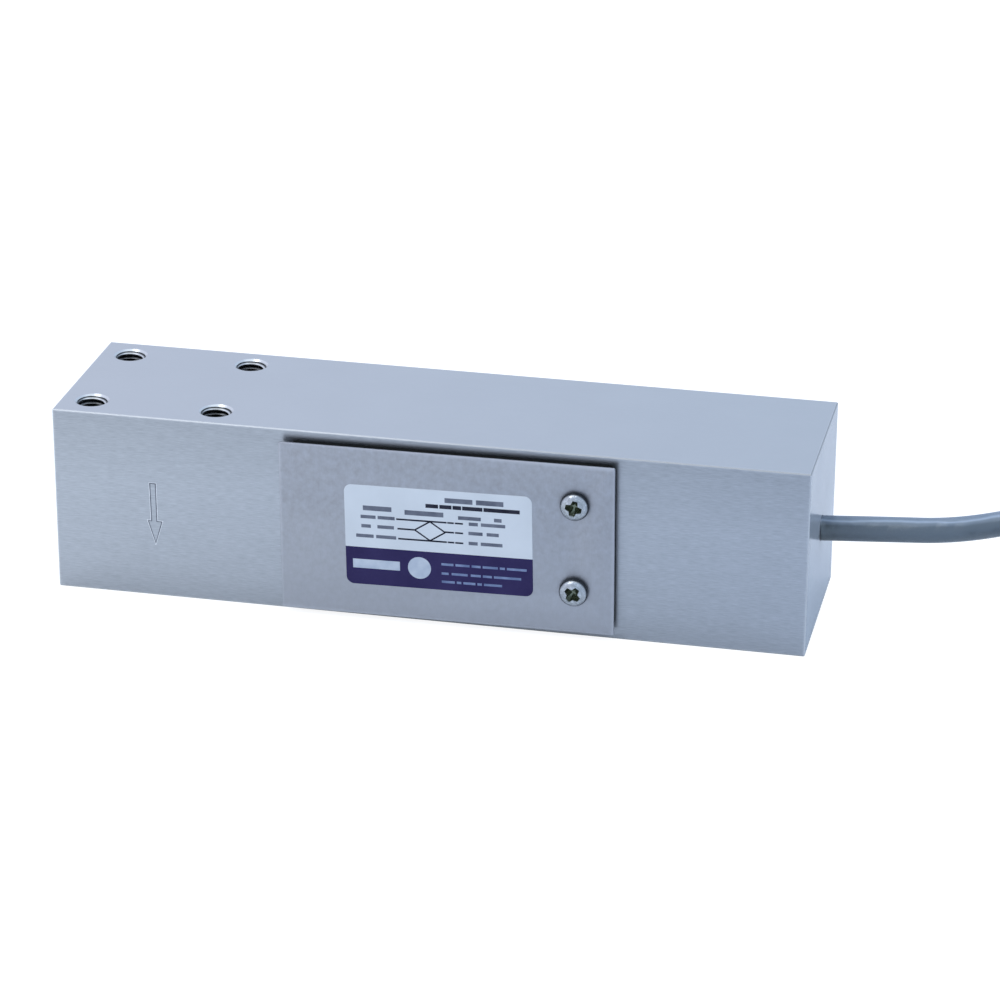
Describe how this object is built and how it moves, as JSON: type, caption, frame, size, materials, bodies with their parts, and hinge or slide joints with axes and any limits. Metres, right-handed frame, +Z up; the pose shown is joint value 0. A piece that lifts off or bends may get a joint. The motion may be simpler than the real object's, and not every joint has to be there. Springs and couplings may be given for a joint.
{
  "type": "single point load cell",
  "caption": "Square aluminium bar load cell with a covered four-bore flexure, tapped mounting holes at both ends and a screened lead from the fixed end.",
  "frame": {"origin": "middle of the bar's underside, halfway along its length", "axes": "+X along the bar to the end that the lead leaves, +Y away from the labelled face, +Z up to the load face"},
  "size_m": [0.313, 0.057, 0.038],
  "materials": {
    "bar_aluminium": "fine brushed, bright",
    "cover_steel": "satin",
    "gasket_rubber": "matte",
    "screw_steel": "bright plated",
    "label_film": "satin film",
    "sealant_rubber": "soft, matte",
    "gauge_film": "amber film",
    "wire_enamel": "enamelled",
    "board_laminate": "matte",
    "solder": "bright",
    "resistor_body": "matte",
    "crimp_brass": "plain",
    "cable_jacket": "semi-matte grey sheath",
    "strap_fabric": "woven",
    "shield_braid": "tinned strands",
    "core_red": "satin",
    "core_black": "satin",
    "core_green": "satin",
    "core_white": "satin",
    "core_blue": "satin",
    "core_brown": "satin"
  },
  "bodies": {
    "root": {"beam": "bar_aluminium", "cable": "cable_jacket", "cable_crimp": "crimp_brass", "cable_hank": "cable_jacket", "cable_in_bar": "cable_jacket", "core_black": "core_black", "core_blue": "core_blue", "core_brown": "core_brown", "core_green": "core_green", "core_red": "core_red", "core_white": "core_white", "end_lead_black": "core_black", "end_lead_blue": "core_blue", "end_lead_brown": "core_brown", "end_lead_green": "core_green", "end_lead_red": "core_red", "end_lead_white": "core_white", "end_shield": "shield_braid", "front_cover": "cover_steel", "front_cover_screw_lower": "screw_steel", "front_cover_screw_upper": "screw_steel", "front_gasket": "gasket_rubber", "front_sealant": "sealant_rubber", "gauge_wires_cable_end_lower": "wire_enamel", "gauge_wires_cable_end_upper": "wire_enamel", "gauge_wires_load_end_lower": "wire_enamel", "gauge_wires_load_end_upper": "wire_enamel", "hank_strap": "strap_fabric", "rating_label": "label_film", "rear_cover": "cover_steel", "rear_cover_screw_lower": "screw_steel", "rear_cover_screw_upper": "screw_steel", "rear_gasket": "gasket_rubber", "rear_sealant": "sealant_rubber", "solder_pads": "solder", "span_trim_resistor": "resistor_body", "strain_gauge_cable_end_lower": "gauge_film", "strain_gauge_cable_end_upper": "gauge_film", "strain_gauge_load_end_lower": "gauge_film", "strain_gauge_load_end_upper": "gauge_film", "terminal_board": "board_laminate", "zero_trim_resistor": "resistor_body"}
  },
  "joints": []
}
